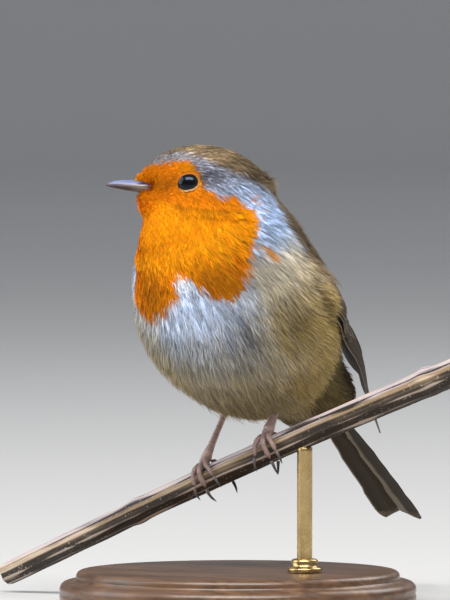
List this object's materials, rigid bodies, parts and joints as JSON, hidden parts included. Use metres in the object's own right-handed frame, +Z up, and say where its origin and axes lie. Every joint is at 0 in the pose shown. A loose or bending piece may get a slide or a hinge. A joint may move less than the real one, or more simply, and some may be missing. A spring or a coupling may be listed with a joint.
{
  "type": "european robin",
  "caption": "Life-size still model of a small round songbird with orange face and breast, head turned to its right, gripping a cut stem held by a rod over a turned base.",
  "frame": {"origin": "centre of the stand's round underside, which rests on the floor", "axes": "+Z up; the bird's body faces -Y with its left side towards +X, and the perch runs along X, rising towards +X"},
  "size_m": [0.1322, 0.1116, 0.1081],
  "materials": {
    "plumage_brown": "soft olive-brown feathers",
    "plumage_orange": "soft orange feathers",
    "plumage_pale": "fluffy white to buff feathers",
    "flight_feathers": "smooth brown vanes, satin",
    "bill_horn": "satin slate horn",
    "eye": "wet gloss, near black",
    "leg_skin": "scaled skin, satin",
    "claw_horn": "satin horn",
    "dry_stem": "dry ridged plant stem",
    "stand_wood": "turned hardwood, satin oil",
    "stand_brass": "satin lacquered brass"
  },
  "bodies": {
    "root": {"head": "plumage_brown", "neck": "plumage_orange", "trunk": "plumage_pale", "bill_upper": "bill_horn", "bill_lower": "bill_horn", "eye_left": "eye", "eye_right": "eye", "wing_left": "flight_feathers", "wing_right": "flight_feathers", "tail": "flight_feathers", "tarsus_left": "leg_skin", "tarsus_right": "leg_skin", "toe_hind_left": "leg_skin", "toe_inner_left": "leg_skin", "toe_middle_left": "leg_skin", "toe_outer_left": "leg_skin", "toe_hind_right": "leg_skin", "toe_inner_right": "leg_skin", "toe_middle_right": "leg_skin", "toe_outer_right": "leg_skin", "claw_hind_left": "claw_horn", "claw_inner_left": "claw_horn", "claw_middle_left": "claw_horn", "claw_outer_left": "claw_horn", "claw_hind_right": "claw_horn", "claw_inner_right": "claw_horn", "claw_middle_right": "claw_horn", "claw_outer_right": "claw_horn", "perch": "dry_stem", "stand_base": "stand_wood", "stand_collar": "stand_brass", "stand_rod": "stand_brass"}
  },
  "joints": []
}
